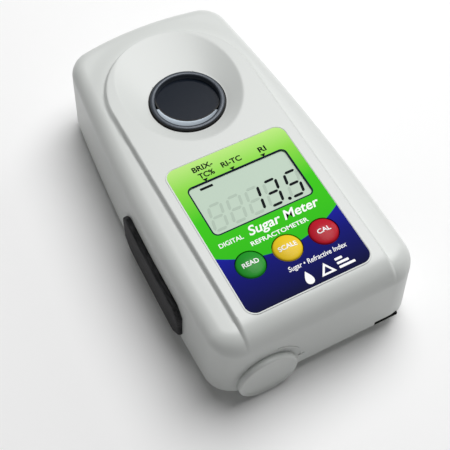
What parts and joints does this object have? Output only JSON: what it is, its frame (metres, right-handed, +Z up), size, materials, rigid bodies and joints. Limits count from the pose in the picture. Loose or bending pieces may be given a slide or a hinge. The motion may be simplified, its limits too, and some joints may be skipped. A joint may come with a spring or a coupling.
{
  "type": "handheld refractometer",
  "caption": "Palm-sized digital refractometer with a raised well ring in a sample dish, a display, domed keys, side grips and a round battery cap.",
  "frame": {"origin": "on the resting plane, in the middle of the outline seen from above", "axes": "+Z up, +Y towards the sample well end, -Y towards the battery cap, +X to the right when the display is read"},
  "size_m": [0.0764, 0.136, 0.0376],
  "materials": {
    "housing": "satin",
    "base": "satin",
    "black_rubber": "matte",
    "grip_rubber": "matte, finely streaked",
    "screw_steel": "satin",
    "label_film": "printed, satin",
    "clear_window": "clear",
    "green_key": "gloss",
    "yellow_key": "gloss",
    "red_key": "gloss",
    "nylon": "satin",
    "switch_black": "matte",
    "lcd": "satin",
    "board_green": "satin",
    "component": "satin",
    "ring_grey": "satin",
    "polished_steel": "polished",
    "dark_glass": "polished",
    "led": "clear",
    "lens_glass": "polished",
    "mirror": "polished",
    "flex_amber": "satin",
    "cell_can": "satin",
    "contact_brass": "satin",
    "lead_red": "satin"
  },
  "bodies": {
    "root": {"top_shell": "housing", "bottom_shell": "base", "shell_seal": "black_rubber", "shell_screws": "screw_steel", "left_grip": "grip_rubber", "right_grip": "grip_rubber", "graphic_overlay": "label_film", "window_lens": "clear_window", "read_switch": "switch_black", "scale_switch": "switch_black", "cal_switch": "switch_black", "lcd_cell": "lcd", "lcd_frame": "nylon", "lcd_connectors": "black_rubber", "main_board": "board_green", "processor_chip": "switch_black", "board_components": "component", "board_screws": "screw_steel", "well_ring": "ring_grey", "well_seal": "black_rubber", "well_insert": "polished_steel", "prism_gasket": "black_rubber", "prism": "dark_glass", "optics_block": "switch_black", "optics_screws": "screw_steel", "light_source": "led", "collimating_lens": "lens_glass", "fold_mirror": "mirror", "sensor_board": "board_green", "sensor_array": "switch_black", "temperature_sensor": "switch_black", "sensor_cable": "flex_amber", "battery_tube": "nylon", "battery_cell": "cell_can", "cell_contact": "contact_brass", "battery_leads": "lead_red"},
    "read_button": {"read_key": "green_key", "read_plunger": "nylon"},
    "scale_button": {"scale_key": "yellow_key", "scale_plunger": "nylon"},
    "cal_button": {"cal_key": "red_key", "cal_plunger": "nylon"},
    "cap_carrier": {"cap_seal": "black_rubber"},
    "battery_cap": {"battery_cap": "housing", "cap_spring": "screw_steel"}
  },
  "joints": [
    {"name": "read_press", "type": "slide", "parent": "root", "child": "read_button", "axis": [0, 0, -1], "range_m": [0, 0.0008], "stiffness_N_per_m": 600},
    {"name": "scale_press", "type": "slide", "parent": "root", "child": "scale_button", "axis": [0, 0, -1], "range_m": [0, 0.0008], "stiffness_N_per_m": 600},
    {"name": "cal_press", "type": "slide", "parent": "root", "child": "cal_button", "axis": [0, 0, -1], "range_m": [0, 0.0008], "stiffness_N_per_m": 600},
    {"name": "cap_pull", "type": "slide", "parent": "root", "child": "cap_carrier", "axis": [0, -1, 0], "range_m": [0, 0.02]},
    {"name": "cap_turn", "type": "hinge", "parent": "cap_carrier", "child": "battery_cap", "pos_m": [-0.0197, -0.0665, 0.0107], "axis": [0, -1, 0], "range_deg": [-90, 0]}
  ]
}
